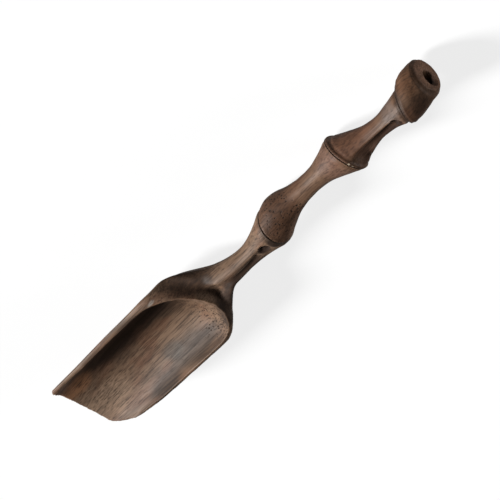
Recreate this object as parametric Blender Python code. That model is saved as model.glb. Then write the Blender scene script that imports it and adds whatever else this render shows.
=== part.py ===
"""A wooden tea scoop: a trough bowl on a handle carved like bamboo.

Units are metres with +Z up. The scoop lies as it rests on a table, on a small
flat under the bowl and a small flat under the second ring of the handle.
X runs from the end of the handle to the lip, and Y runs across the bowl. Left is
+Y, as seen from the handle, and the rings are counted from the bowl.
"""

import math

import bmesh
import bpy
from mathutils import Vector

# Lengths along the handle and the bowl, from the end face to the lip
KNOB_LENGTH = 0.0102
UPPER_JOINT_LENGTH = 0.0256
LOWER_JOINT_LENGTH = 0.0346
NECK_LENGTH = 0.0268
SHOULDER_LENGTH = 0.0255
BOWL_LENGTH = 0.0638

# Radii of the handle at its rings and waists
END_FACE_RADIUS = 0.0047
KNOB_BASE_RADIUS = 0.0063
KNOB_BULGE = 0.0009
KNOB_SHOULDER_RADIUS = 0.0053
KNOB_CHAMFER_LENGTH = 0.0008
UPPER_START_RADIUS = 0.0056
UPPER_WAIST_RADIUS = 0.0033
UPPER_END_RADIUS = 0.0077
LOWER_START_RADIUS = 0.0077
LOWER_WAIST_RADIUS = 0.0035
LOWER_END_RADIUS = 0.0070
NECK_START_RADIUS = 0.0072
NECK_WAIST_RADIUS = 0.0036
NECK_END_RADIUS = 0.0046

# The right side of the lower joint swells beside the first ring
SWELL = 0.00175
SWELL_LENGTH = 0.0200
SWELL_SKEW = 0.6
SWELL_ANGLE = 208.0

# How far each flare reaches from its ring towards the waist
UPPER_START_REACH = 0.0090
UPPER_END_REACH = 0.0140
LOWER_START_REACH = 0.0145
LOWER_END_REACH = 0.0145
NECK_START_REACH = 0.0150
NECK_END_REACH = 0.0110
FLARE_POWER = 1.7

# The share of a joint's length over which the slant of an end ring fades out
SLANT_REACH = 0.45

# The V-shaped groove at each ring: how far its edge rolls in, and over what length
ROLL_DROP = 0.00045
ROLL_LENGTH = 0.0010

# Heights of the handle's centre line above the table, and its drift to the side
END_FACE_HEIGHT = 0.0067
KNOB_BASE_HEIGHT = 0.0092
UPPER_RING_HEIGHT = 0.0070
LOWER_RING_HEIGHT = 0.0082
SHOULDER_HEIGHT = 0.0095
KNOB_BASE_DRIFT = -0.0001
UPPER_RING_DRIFT = -0.0001
LOWER_RING_DRIFT = 0.0

# The bow of each length of handle off the straight line between its rings
UPPER_BOW = Vector((0.0, 0.0, 0.0010))
LOWER_BOW = Vector((0.0, -0.0010, -0.0006))
NECK_BOW = Vector((0.0, 0.0004, 0.0013))

# The slant of each ring, in degrees: yaw turns it about Z, pitch tips it about Y
END_FACE_SLANT = (2.9, 4.1)
KNOB_BASE_SLANT = (23.9, 2.5)
UPPER_RING_SLANT = (-3.0, -13.8)
LOWER_RING_SLANT = (0.4, 13.7)

# The channel that runs along the upper joint and the neck, as on a bamboo stem
CHANNEL_DEPTH = 0.0009
CHANNEL_CENTRE = 76.0
CHANNEL_HALF_WIDTH = 38.0
UPPER_CHANNEL_START_FADE = 0.0045
UPPER_CHANNEL_END_FADE = 0.0056
NECK_CHANNEL_FADE = 0.0060

# The hollow behind the bowl, which the neck's channel opens into
HOLLOW_DEPTH = 0.0016
HOLLOW_HALF_WIDTH = 65.0
HOLLOW_OPENING_LENGTH = 0.0085
HOLLOW_FADE_LENGTH = 0.0153

# The glued tenon joints in the handle, and the hanging hole in the knob
JOINT_GAP = 0.0003
TENON_RADIUS = 0.0022
TENON_LENGTH = 0.0060
KNOB_TENON_LENGTH = 0.0035
KNOB_WEB = 0.0022
HANGING_HOLE_RADIUS = 0.0019
HANGING_HOLE_DRIFT = 0.0006

# The bowl
BOWL_HALF_WIDTH = 0.0180
BOWL_TAPER = 0.0009
BOWL_DRIFT_BACK = 0.0006
BOWL_DRIFT_LIP = -0.0003
RIGHT_SHOULDER_FULLNESS = 0.0030
LEFT_SHOULDER_EASE = 0.0006
RIM_BACK_HEIGHT = 0.0132
RIM_LIP_HEIGHT = 0.0146
RIM_CROWN = 0.0003
BELLY_FROM_LIP = 0.0597
FLOOR_RISE_AT_LIP = 0.0070
FLOOR_RISE_POWER = 1.8
BELLY_SINK = 0.00025
RIM_WALL_BACK = 0.0024
RIM_WALL_LIP = 0.0014
FLOOR_BACK = 0.0024
FLOOR_LIP = 0.0012
SECTION_POWER = 1.48
CAVITY_SETBACK = 0.0133
CAVITY_CORNER_LENGTH = 0.0150
CAVITY_SLOPE_LENGTH = 0.0185
CUTTER_HEADROOM = 0.0120
CUTTER_OVERHANG = 0.0048
PAST_LIP = 0.0010
LIP_CREST = 0.0050
LIP_LEFT_LENGTH = 0.0300
LIP_LEFT_POWER = 3.4
LIP_LEFT_FULLNESS = 0.6
LIP_RIGHT_LENGTH = 0.0118
LIP_RIGHT_POWER = 2.0
LIP_RIGHT_FULLNESS = 0.87

# The wood's colours, a little darker on the knob, and its roughness
KNOB_COLOUR = (0.105, 0.060, 0.042)
KNOB_ROUGHNESS = 0.55
UPPER_COLOUR = (0.120, 0.072, 0.050)
LOWER_COLOUR = (0.125, 0.075, 0.052)
BOWL_COLOUR = (0.115, 0.068, 0.047)
WOOD_ROUGHNESS = 0.5

# Mesh resolution, and how closely the rings crowd together where the shape turns
POINTS_AROUND = 44
JOINT_RINGS = 14
KNOB_RINGS = 9
NECK_RINGS = 15
SHOULDER_RINGS = 14
BOWL_RINGS = 16
CAVITY_RINGS = 26
LIP_POINTS = 40
ROLL_MIDDLE = 0.45
JOINT_CROWDING = 0.4
CAVITY_CROWDING = 1.8
CAVITY_FIRST_RING = 0.002
SMOOTH_ANGLE = 35.0

# Places along X that follow from the lengths
KNOB_BASE_X = KNOB_LENGTH
UPPER_RING_X = KNOB_BASE_X + UPPER_JOINT_LENGTH
LOWER_RING_X = UPPER_RING_X + LOWER_JOINT_LENGTH
SHOULDER_X = LOWER_RING_X + NECK_LENGTH
BOWL_X = SHOULDER_X + SHOULDER_LENGTH
LIP_X = BOWL_X + BOWL_LENGTH
BELLY_X = LIP_X - BELLY_FROM_LIP
CAVITY_X = BOWL_X - CAVITY_SETBACK

# Centres of the rings
END_FACE_CENTRE = Vector((0.0, 0.0, END_FACE_HEIGHT))
KNOB_BASE_CENTRE = Vector((KNOB_BASE_X, KNOB_BASE_DRIFT, KNOB_BASE_HEIGHT))
UPPER_RING_CENTRE = Vector((UPPER_RING_X, UPPER_RING_DRIFT, UPPER_RING_HEIGHT))
LOWER_RING_CENTRE = Vector((LOWER_RING_X, LOWER_RING_DRIFT, LOWER_RING_HEIGHT))
SHOULDER_CENTRE = Vector((SHOULDER_X, 0.0, SHOULDER_HEIGHT))

ANGLES = [2.0 * math.pi * i / POINTS_AROUND for i in range(POINTS_AROUND)]


# Small helpers
def smooth(value):
    """Ease from 0 to 1, flat at both ends."""
    value = min(max(value, 0.0), 1.0)
    return value * value * (3.0 - 2.0 * value)


def blend(first, second, share):
    return first + (second - first) * share


def slant_normal(slant):
    """The direction towards the lip that a ring with this yaw and pitch faces."""
    yaw, pitch = (math.radians(angle) for angle in slant)
    return Vector((math.cos(yaw) * math.cos(pitch), -math.sin(yaw) * math.cos(pitch), -math.sin(pitch)))


def ring_axes(normal):
    """Two directions in a ring's plane: the first across, the second up."""
    across = (Vector((0.0, 1.0, 0.0)) - normal * normal.y).normalized()
    return across, normal.cross(across)


def place_on_plane(point, along, plane_point, plane_normal):
    """Slide a point along a direction until it lies on a plane."""
    return point + along * ((plane_point - point).dot(plane_normal) / along.dot(plane_normal))


# Handle: centre lines and outlines
class Joint:
    """One length of the handle, from its ring on the knob's side to its ring on the bowl's side."""

    def __init__(self, start, end, bow, start_normal, end_normal):
        self.start = start
        self.end = end
        self.bow = bow
        self.start_normal = start_normal
        self.end_normal = end_normal
        self.length = (end - start).length

    def centre(self, share):
        return blend(self.start, self.end, share) + self.bow * (4.0 * share * (1.0 - share))

    def direction(self, share):
        step = 0.01
        return (self.centre(share + step) - self.centre(share - step)).normalized()

    def normal(self, share):
        """The slant of the end rings fades into the run of the centre line."""
        straight = self.direction(share)
        near_start = smooth(1.0 - share / SLANT_REACH)
        near_end = smooth(1.0 - (1.0 - share) / SLANT_REACH)
        facing = straight * (1.0 - near_start - near_end)
        facing += self.start_normal * near_start + self.end_normal * near_end
        return facing.normalized()


def flare(distance, reach, rise):
    return rise * max(1.0 - distance / reach, 0.0) ** FLARE_POWER


def edge_roll(distance):
    return ROLL_DROP * max(1.0 - distance / ROLL_LENGTH, 0.0) ** 2


def channel(angle, centre=CHANNEL_CENTRE, half_width=CHANNEL_HALF_WIDTH):
    """How deep the channel is at an angle, from 0 outside it to 1 along its middle."""
    offset = (math.degrees(angle) - centre) / half_width
    return max(1.0 - offset * offset, 0.0)


def ring_shares(count, length):
    """Shares of a joint's length, with a closer pair of rings at each rolled edge."""
    edge = ROLL_LENGTH / length
    steps = [blend(i / count, smooth(i / count), JOINT_CROWDING) for i in range(count + 1)]
    inner = [blend(edge, 1.0 - edge, step) for step in steps]
    return [0.0, edge * ROLL_MIDDLE] + inner + [1.0 - edge * ROLL_MIDDLE, 1.0]


def round_ring(centre, normal, radius_at):
    """A ring of points about a centre, with a radius for each angle."""
    across, up = ring_axes(normal)
    return [centre + (across * math.cos(a) + up * math.sin(a)) * radius_at(a) for a in ANGLES]


def plug_rings(face_centre, face_normal, along, radius, length):
    """The root and tip of a tenon, or the mouth and bottom of a hole. A negative length runs back."""
    across, up = ring_axes(along)
    circle = [(across * math.cos(a) + up * math.sin(a)) * radius for a in ANGLES]
    root = [place_on_plane(face_centre + point, along, face_centre, face_normal) for point in circle]
    tip = [face_centre + along * length + point for point in circle]
    return root, tip


# Meshes
def skin(rings):
    """Join rings of points into one closed body with a flat face on its first and last ring."""
    mesh = bmesh.new()
    loops = [[mesh.verts.new(point) for point in ring] for ring in rings]
    for near, far in zip(loops, loops[1:]):
        count = len(near)
        for i in range(count):
            mesh.faces.new((near[i], near[(i + 1) % count], far[(i + 1) % count], far[i]))
    mesh.faces.new(loops[0])
    mesh.faces.new(loops[-1])
    bmesh.ops.recalc_face_normals(mesh, faces=mesh.faces)
    return mesh


def cut_base_flat(mesh):
    """Cut away what lies below the table and close the cut with a flat face."""
    geometry = mesh.verts[:] + mesh.edges[:] + mesh.faces[:]
    cut = bmesh.ops.bisect_plane(mesh, geom=geometry, plane_co=(0.0, 0.0, 0.0),
                                 plane_no=(0.0, 0.0, -1.0), clear_outer=True)
    edges = [item for item in cut["geom_cut"] if isinstance(item, bmesh.types.BMEdge)]
    bmesh.ops.holes_fill(mesh, edges=edges)
    bmesh.ops.recalc_face_normals(mesh, faces=mesh.faces)


def wood(name, colour, roughness):
    material = bpy.data.materials.new(name)
    material.use_nodes = True
    shader = material.node_tree.nodes["Principled BSDF"]
    shader.inputs["Base Color"].default_value = (*colour, 1.0)
    shader.inputs["Roughness"].default_value = roughness
    shader.inputs["Metallic"].default_value = 0.0
    material.diffuse_color = (*colour, 1.0)
    return material


def new_object(name, mesh, material, parent):
    data = bpy.data.meshes.new(name)
    mesh.to_mesh(data)
    mesh.free()
    data.materials.append(material)
    data.shade_smooth()
    data.set_sharp_from_angle(angle=math.radians(SMOOTH_ANGLE))
    item = bpy.data.objects.new(name, data)
    item.parent = parent
    bpy.context.collection.objects.link(item)
    return item


def cutter(name, mesh, parent):
    data = bpy.data.meshes.new(name)
    mesh.to_mesh(data)
    mesh.free()
    item = bpy.data.objects.new(name, data)
    item.parent = parent
    item.hide_render = True
    item.display_type = "WIRE"
    bpy.context.collection.objects.link(item)
    return item


def cut_with(item, tool):
    modifier = item.modifiers.new(tool.name, "BOOLEAN")
    modifier.operation = "DIFFERENCE"
    modifier.solver = "EXACT"
    modifier.object = tool


# The knob with its hanging hole and the socket for the upper joint
def knob_rings():
    joint = Joint(END_FACE_CENTRE, KNOB_BASE_CENTRE, Vector(), slant_normal(END_FACE_SLANT),
                  slant_normal(KNOB_BASE_SLANT))
    along = joint.direction(0.5)
    base_centre = joint.end - along * (JOINT_GAP / 2.0)
    socket_depth = KNOB_TENON_LENGTH + JOINT_GAP
    hole_depth = KNOB_LENGTH - socket_depth - KNOB_WEB
    hole_centre = place_on_plane(joint.start + Vector((0.0, HANGING_HOLE_DRIFT, 0.0)), along,
                                 joint.start, joint.start_normal)
    mouth, bottom = plug_rings(hole_centre, joint.start_normal, along, HANGING_HOLE_RADIUS, hole_depth)
    rings = [bottom, mouth]
    for i in range(KNOB_RINGS + 1):
        share = i / KNOB_RINGS
        centre = blend(joint.start, base_centre, share)
        normal = blend(joint.start_normal, joint.end_normal, share).normalized()
        radius = blend(KNOB_SHOULDER_RADIUS, KNOB_BASE_RADIUS, share)
        radius += KNOB_BULGE * math.sin(math.pi * share)
        if i == 0:
            rings.append(round_ring(centre, normal, lambda angle: END_FACE_RADIUS))
            centre = centre + along * KNOB_CHAMFER_LENGTH
        if i == KNOB_RINGS:
            rings.append(round_ring(centre - along * ROLL_LENGTH, normal, lambda angle: radius))
            radius -= ROLL_DROP
        rings.append(round_ring(centre, normal, lambda angle: radius))
    socket_mouth, socket_bottom = plug_rings(base_centre, joint.end_normal, along,
                                             TENON_RADIUS + JOINT_GAP, -socket_depth)
    return rings + [socket_mouth, socket_bottom]


# A length of handle between two rings: a tenon at its start and a socket at its end
def joint_rings(joint, radius_at, tenon_along, tenon_length, end_along):
    start_centre = joint.start + joint.direction(0.0) * (JOINT_GAP / 2.0)
    end_centre = joint.end - joint.direction(1.0) * (JOINT_GAP / 2.0)
    root, tip = plug_rings(start_centre, joint.start_normal, tenon_along, TENON_RADIUS, -tenon_length)
    rings = [tip, root]
    for share in ring_shares(JOINT_RINGS, joint.length):
        centre = joint.centre(share)
        if share == 0.0:
            centre = start_centre
        if share == 1.0:
            centre = end_centre
        rings.append(round_ring(centre, joint.normal(share), lambda angle: radius_at(share, angle)))
    socket_depth = TENON_LENGTH + JOINT_GAP
    mouth, bottom = plug_rings(end_centre, joint.end_normal, end_along,
                               TENON_RADIUS + JOINT_GAP, -socket_depth)
    return rings + [mouth, bottom]


def upper_radius(share, angle):
    """The upper joint, with its channel, which is deepest in the flare at the second ring."""
    from_start = share * UPPER_JOINT_LENGTH
    from_end = UPPER_JOINT_LENGTH - from_start
    radius = UPPER_WAIST_RADIUS
    radius += flare(from_start, UPPER_START_REACH, UPPER_START_RADIUS - UPPER_WAIST_RADIUS)
    radius += flare(from_end, UPPER_END_REACH, UPPER_END_RADIUS - UPPER_WAIST_RADIUS)
    radius -= edge_roll(from_start) + edge_roll(from_end)
    depth = CHANNEL_DEPTH * smooth(from_start / UPPER_CHANNEL_START_FADE)
    depth *= smooth(from_end / UPPER_CHANNEL_END_FADE)
    return radius - depth * channel(angle)


def lower_radius(share, angle):
    """The lower joint, with a swelling on its right beside the first ring."""
    from_start = share * LOWER_JOINT_LENGTH
    from_end = LOWER_JOINT_LENGTH - from_start
    radius = LOWER_WAIST_RADIUS
    radius += flare(from_start, LOWER_START_REACH, LOWER_START_RADIUS - LOWER_WAIST_RADIUS)
    radius += flare(from_end, LOWER_END_REACH, LOWER_END_RADIUS - LOWER_WAIST_RADIUS)
    side = 0.5 + 0.5 * math.cos(angle - math.radians(SWELL_ANGLE))
    radius += SWELL * side * math.sin(math.pi * min(from_end / SWELL_LENGTH, 1.0) ** SWELL_SKEW) ** 2
    return radius - edge_roll(from_start) - edge_roll(from_end)


def neck_radius(share, angle):
    """The neck, with its channel, which opens into the hollow behind the bowl."""
    from_start = share * NECK_LENGTH
    from_end = NECK_LENGTH - from_start
    radius = NECK_WAIST_RADIUS
    radius += flare(from_start, NECK_START_REACH, NECK_START_RADIUS - NECK_WAIST_RADIUS)
    radius += flare(from_end, NECK_END_REACH, NECK_END_RADIUS - NECK_WAIST_RADIUS)
    radius -= edge_roll(from_start)
    depth = CHANNEL_DEPTH * smooth(from_start / NECK_CHANNEL_FADE)
    return radius - depth * channel(angle)


# The bowl: its heights and widths at a place along X
def bowl_share(x):
    """0 at the belly and 1 at the lip."""
    return min(max((x - BELLY_X) / BELLY_FROM_LIP, 0.0), 1.0)


def rim_share(x):
    """0 where the bowl has its full width and 1 at the lip."""
    return (x - BOWL_X) / BOWL_LENGTH


def half_width(x):
    """Half the outer width, from the neck through the shoulders to the straight sides."""
    full = BOWL_HALF_WIDTH - BOWL_TAPER * max(rim_share(x), 0.0)
    return blend(NECK_END_RADIUS, full, smooth((x - SHOULDER_X) / SHOULDER_LENGTH))


def bowl_drift(x):
    """How far the bowl's middle lies to the left of the handle's line."""
    drift = blend(BOWL_DRIFT_BACK, BOWL_DRIFT_LIP, max(rim_share(x), 0.0))
    return drift * smooth((x - SHOULDER_X) / SHOULDER_LENGTH)


def rim_height(x):
    full = blend(RIM_BACK_HEIGHT, RIM_LIP_HEIGHT, max(rim_share(x), 0.0))
    return blend(SHOULDER_HEIGHT, full, smooth((x - SHOULDER_X) / SHOULDER_LENGTH))


def bottom_height(x):
    """The underside: it drops from the neck to the belly and rises again to the lip."""
    if x < BELLY_X:
        drop = SHOULDER_HEIGHT - NECK_END_RADIUS + BELLY_SINK
        return drop * ((BELLY_X - x) / (BELLY_X - SHOULDER_X)) ** 2 - BELLY_SINK
    return (FLOOR_RISE_AT_LIP + BELLY_SINK) * bowl_share(x) ** FLOOR_RISE_POWER - BELLY_SINK


def outer_section(x):
    """The outside at a place along X: a crown over the rim's height and a trough under it."""
    width = half_width(x)
    height = rim_height(x)
    share = smooth((x - SHOULDER_X) / SHOULDER_LENGTH)
    crown = blend(NECK_END_RADIUS, RIM_CROWN, share)
    depth = height - bottom_height(x)
    power = blend(1.0, SECTION_POWER, share * share)
    hollow = blend(CHANNEL_DEPTH, HOLLOW_DEPTH, smooth((x - SHOULDER_X) / HOLLOW_OPENING_LENGTH))
    hollow *= smooth((BOWL_X - x) / HOLLOW_FADE_LENGTH)
    hollow_width = blend(CHANNEL_HALF_WIDTH, HOLLOW_HALF_WIDTH, share)
    along = math.pi * min((x - SHOULDER_X) / SHOULDER_LENGTH, 1.0)
    fullness = RIGHT_SHOULDER_FULLNESS * math.sin(along) ** 2
    ease = LEFT_SHOULDER_EASE * math.sin(2.0 * along)
    points = []
    for angle in ANGLES:
        across = math.cos(angle)
        y = bowl_drift(x) + width * across + fullness * min(across, 0.0) + ease * max(across, 0.0)
        rise = math.sin(angle)
        if rise >= 0.0:
            dip = hollow * channel(angle, CHANNEL_CENTRE, hollow_width)
            points.append(Vector((x, y - dip * math.cos(angle), height + crown * rise - dip * rise)))
        else:
            points.append(Vector((x, y, height - depth * (-rise) ** power)))
    return points


def cavity_section(x):
    """The hollow at a place along X, open upwards."""
    along = min((x - CAVITY_X) / CAVITY_CORNER_LENGTH, 1.0)
    slope = min((x - CAVITY_X) / CAVITY_SLOPE_LENGTH, 1.0)
    wall = blend(RIM_WALL_BACK, RIM_WALL_LIP, max(rim_share(x), 0.0))
    full_width = BOWL_HALF_WIDTH - BOWL_TAPER * max(rim_share(x), 0.0) - wall
    width = full_width * math.sqrt(max(1.0 - (1.0 - along) ** 2, 0.0))
    height = rim_height(x)
    floor = blend(FLOOR_BACK, FLOOR_LIP, bowl_share(x))
    depth = (height - max(bottom_height(x), -BELLY_SINK) - floor) * (1.0 - (1.0 - slope) ** 2)
    half = POINTS_AROUND // 2
    drift = bowl_drift(x)
    points = [Vector((x, drift + width, height + CUTTER_HEADROOM))]
    for i in range(half + 1):
        angle = math.pi * i / half
        y = drift + width * math.cos(angle)
        points.append(Vector((x, y, height - depth * math.sin(angle) ** SECTION_POWER)))
    points.append(Vector((x, drift - width, height + CUTTER_HEADROOM)))
    return points


def lip_x(y):
    """The lip's plan: furthest out left of the middle, with a round left corner and a longer right one."""
    half = BOWL_HALF_WIDTH
    if y > LIP_CREST:
        share = min((y - LIP_CREST) / (half - LIP_CREST), 1.0)
        return LIP_X - LIP_LEFT_LENGTH * (1.0 - (1.0 - share ** LIP_LEFT_POWER) ** LIP_LEFT_FULLNESS)
    share = min((LIP_CREST - y) / (half + LIP_CREST), 1.0)
    return LIP_X - LIP_RIGHT_LENGTH * (1.0 - (1.0 - share ** LIP_RIGHT_POWER) ** LIP_RIGHT_FULLNESS)


def bowl_body_rings():
    """The neck and the outside of the bowl, from the tenon's tip to past the lip."""
    joint = Joint(LOWER_RING_CENTRE, SHOULDER_CENTRE, NECK_BOW, slant_normal(LOWER_RING_SLANT),
                  Vector((1.0, 0.0, 0.0)))
    lower = lower_joint_line()
    start_centre = joint.start + joint.direction(0.0) * (JOINT_GAP / 2.0)
    root, tip = plug_rings(start_centre, joint.start_normal, lower.direction(1.0), TENON_RADIUS,
                           -TENON_LENGTH)
    rings = [tip, root]
    for share in ring_shares(NECK_RINGS, joint.length)[:-2]:
        centre = start_centre if share == 0.0 else joint.centre(share)
        rings.append(round_ring(centre, joint.normal(share), lambda angle: neck_radius(share, angle)))
    for i in range(SHOULDER_RINGS):
        rings.append(outer_section(SHOULDER_X + SHOULDER_LENGTH * i / SHOULDER_RINGS))
    past_lip = LIP_X + PAST_LIP
    for i in range(BOWL_RINGS + 1):
        rings.append(outer_section(blend(BOWL_X, past_lip, i / BOWL_RINGS)))
    return rings


def cavity_rings():
    """Rings close together where the back wall curves, wider apart along the trough."""
    past_lip = LIP_X + 2.0 * PAST_LIP
    shares = [(i / CAVITY_RINGS) ** CAVITY_CROWDING for i in range(CAVITY_RINGS + 1)]
    first = blend(CAVITY_X, past_lip, CAVITY_FIRST_RING)
    return [cavity_section(blend(first, past_lip, share)) for share in shares]


def lip_cutter_mesh():
    """A block standing in front of the lip, with the lip's outline on its near side."""
    reach = BOWL_HALF_WIDTH + CUTTER_OVERHANG
    far = LIP_X + CUTTER_HEADROOM
    outline = []
    for i in range(LIP_POINTS + 1):
        angle = math.pi * (i / LIP_POINTS - 0.5)
        y = BOWL_HALF_WIDTH * math.sin(angle)
        outline.append((lip_x(y), y))
    outline = [(outline[0][0], -reach)] + outline + [(outline[-1][0], reach), (far, reach), (far, -reach)]
    low = -CUTTER_HEADROOM
    high = RIM_LIP_HEIGHT + CUTTER_HEADROOM
    return skin([[Vector((x, y, z)) for x, y in outline] for z in (low, high)])


# Centre lines of the two middle joints
def upper_joint_line():
    return Joint(KNOB_BASE_CENTRE, UPPER_RING_CENTRE, UPPER_BOW, slant_normal(KNOB_BASE_SLANT),
                 slant_normal(UPPER_RING_SLANT))


def lower_joint_line():
    return Joint(UPPER_RING_CENTRE, LOWER_RING_CENTRE, LOWER_BOW, slant_normal(UPPER_RING_SLANT),
                 slant_normal(LOWER_RING_SLANT))


# The four pieces
def make_end_knob(parent):
    mesh = skin(knob_rings())
    return new_object("end_knob", mesh, wood("end_knob_wood", KNOB_COLOUR, KNOB_ROUGHNESS), parent)


def make_upper_joint(parent):
    line = upper_joint_line()
    knob_along = (KNOB_BASE_CENTRE - END_FACE_CENTRE).normalized()
    rings = joint_rings(line, upper_radius, knob_along, KNOB_TENON_LENGTH, line.direction(1.0))
    mesh = skin(rings)
    cut_base_flat(mesh)
    return new_object("upper_joint", mesh, wood("upper_joint_wood", UPPER_COLOUR, WOOD_ROUGHNESS), parent)


def make_lower_joint(parent):
    line = lower_joint_line()
    tenon_along = upper_joint_line().direction(1.0)
    rings = joint_rings(line, lower_radius, tenon_along, TENON_LENGTH, line.direction(1.0))
    mesh = skin(rings)
    cut_base_flat(mesh)
    return new_object("lower_joint", mesh, wood("lower_joint_wood", LOWER_COLOUR, WOOD_ROUGHNESS), parent)


def make_scoop_bowl(parent):
    mesh = skin(bowl_body_rings())
    cut_base_flat(mesh)
    bowl = new_object("scoop_bowl", mesh, wood("scoop_bowl_wood", BOWL_COLOUR, WOOD_ROUGHNESS), parent)
    cut_with(bowl, cutter("cavity_cutter", skin(cavity_rings()), parent))
    cut_with(bowl, cutter("lip_cutter", lip_cutter_mesh(), parent))
    return bowl


def main():
    for item in list(bpy.data.objects):
        bpy.data.objects.remove(item, do_unlink=True)
    # The end face leans, so its edge reaches a little further back than its centre
    lean = END_FACE_RADIUS * slant_normal(END_FACE_SLANT).yz.length
    scoop = bpy.data.objects.new("tea_scoop", None)
    scoop.location = ((lean - LIP_X) / 2.0, -BOWL_DRIFT_BACK, 0.0)
    bpy.context.collection.objects.link(scoop)
    make_end_knob(scoop)
    make_upper_joint(scoop)
    make_lower_joint(scoop)
    make_scoop_bowl(scoop)


main()
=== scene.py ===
# %% [markdown]
# # A wooden tea scoop, carved like a length of bamboo
# The scoop is one hand-sized thing: a trough bowl that measures loose tea, and a handle
# whittled to look like bamboo, with two rings where a real stem has its nodes. The CAD
# frame already has its four pieces at their true size. This lesson dresses them: each
# piece is copied, carved, sanded, and given oiled dark wood.
#
# The scoop lies along X, with its lip at the +X end, and Z is up. Left and right are as
# in the photograph: left is -Y. Lengths are in metres.

# %% Load the frame
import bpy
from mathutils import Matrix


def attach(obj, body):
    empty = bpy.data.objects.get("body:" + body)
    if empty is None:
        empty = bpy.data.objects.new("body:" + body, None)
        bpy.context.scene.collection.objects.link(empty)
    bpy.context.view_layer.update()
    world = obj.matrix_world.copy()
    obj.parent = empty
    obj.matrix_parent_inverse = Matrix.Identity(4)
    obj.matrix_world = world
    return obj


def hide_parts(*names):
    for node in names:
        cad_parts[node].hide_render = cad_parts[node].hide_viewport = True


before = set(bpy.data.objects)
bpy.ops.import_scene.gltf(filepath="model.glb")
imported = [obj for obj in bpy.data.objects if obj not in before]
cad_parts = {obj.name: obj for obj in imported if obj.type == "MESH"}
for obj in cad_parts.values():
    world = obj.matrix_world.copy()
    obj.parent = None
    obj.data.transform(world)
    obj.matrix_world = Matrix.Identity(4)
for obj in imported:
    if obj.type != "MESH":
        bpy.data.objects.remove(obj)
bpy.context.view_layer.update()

# %% [markdown]
# ## The camera
# The photograph looks down on the scoop from its handle's end and from the left, and it
# is turned upside down: the handle points to the upper right and the lip to the lower
# left. A camera can be aimed by hand with constraints, but a roll like this is easier to
# set as two directions: where the image's right and the way back to the camera point in
# the scene. The image's top follows from them. A long lens keeps the perspective as weak
# as it is in the photograph.

# %% Camera
import bpy
from mathutils import Matrix, Vector

IMAGE_RIGHT = Vector((-0.5731, 0.8162, 0.0728))
TO_CAMERA = Vector((-0.6130, -0.4860, 0.6230))
LOOK_AT = Vector((-0.009025, -0.0006, 0.00911))
CAMERA_DISTANCE = 0.45
SENSOR_MM = 36.0
LENS_MM = 105.98
NEAREST_SEEN = 0.01


def add_camera():
    back = TO_CAMERA.normalized()
    right = (IMAGE_RIGHT - back * IMAGE_RIGHT.dot(back)).normalized()
    up = back.cross(right)
    turn = Matrix((right, up, back)).transposed().to_4x4()
    data = bpy.data.cameras.new("photo_camera")
    data.sensor_width = SENSOR_MM
    data.lens = LENS_MM
    data.clip_start = NEAREST_SEEN
    camera = bpy.data.objects.new("photo_camera", data)
    camera.matrix_world = Matrix.Translation(LOOK_AT + back * CAMERA_DISTANCE) @ turn
    bpy.context.scene.collection.objects.link(camera)
    bpy.context.scene.camera = camera
    return camera


camera = add_camera()
print("camera at", [round(c, 4) for c in camera.location])

# %% [markdown]
# ## The light
# In the photograph soft light comes from the left, low over the table: the bowl's left
# wall is dark inside, and its right wall and floor are bright. One wide, soft sun shines
# from there, a weaker and lower one from the other side reaches the dark wall, and a
# faint sky lifts the rest. Area lamps would do as well, but a sun is equally strong from
# end to end of the scoop. The scoop is cut out on white there, with no shadow. So the sky
# is shown white to the camera alone, through the Light Path node.

# %% Lamps and sky
import math


def add_sun(name, azimuth, elevation, strength, spread):
    """A lamp that shines from this azimuth, measured from +X towards +Y."""
    across, height = math.radians(azimuth), math.radians(elevation)
    level = math.cos(height)
    source = Vector((math.cos(across) * level, math.sin(across) * level, math.sin(height)))
    data = bpy.data.lights.new(name, "SUN")
    data.energy = strength
    data.angle = math.radians(spread)
    lamp = bpy.data.objects.new(name, data)
    lamp.rotation_mode = "QUATERNION"
    lamp.rotation_quaternion = source.to_track_quat("Z", "Y")
    bpy.context.scene.collection.objects.link(lamp)
    return lamp


def clear_sky(strength):
    """A white sky that lights the scoop faintly and is seen at full strength."""
    world = bpy.data.worlds.new("pale_sky")
    world.use_nodes = True
    nodes, links = world.node_tree.nodes, world.node_tree.links
    shader = nodes["Background"]
    path = nodes.new("ShaderNodeLightPath")
    level = nodes.new("ShaderNodeMapRange")
    level.inputs["To Min"].default_value = strength
    level.inputs["To Max"].default_value = 1.0
    links.new(path.outputs["Is Camera Ray"], level.inputs["Value"])
    links.new(level.outputs["Result"], shader.inputs["Strength"])
    shader.inputs["Color"].default_value = (1.0, 1.0, 1.0, 1.0)
    bpy.context.scene.world = world


add_sun("window_light", azimuth=320.0, elevation=24.5, strength=6.3, spread=14.0)
add_sun("fill_light", azimuth=140.0, elevation=8.0, strength=1.5, spread=18.0)
clear_sky(strength=0.06)
bpy.context.scene.view_settings.view_transform = "Standard"

# %% [markdown]
# ## Shader maths in plain Python
# Wood needs a good deal of arithmetic between its patterns. Wiring Math nodes by hand is
# slow to read, so a small class wraps a socket and turns +, - and * into Math nodes.
# Colours are blended by Mix nodes, because a Math node would turn a colour grey.

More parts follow.
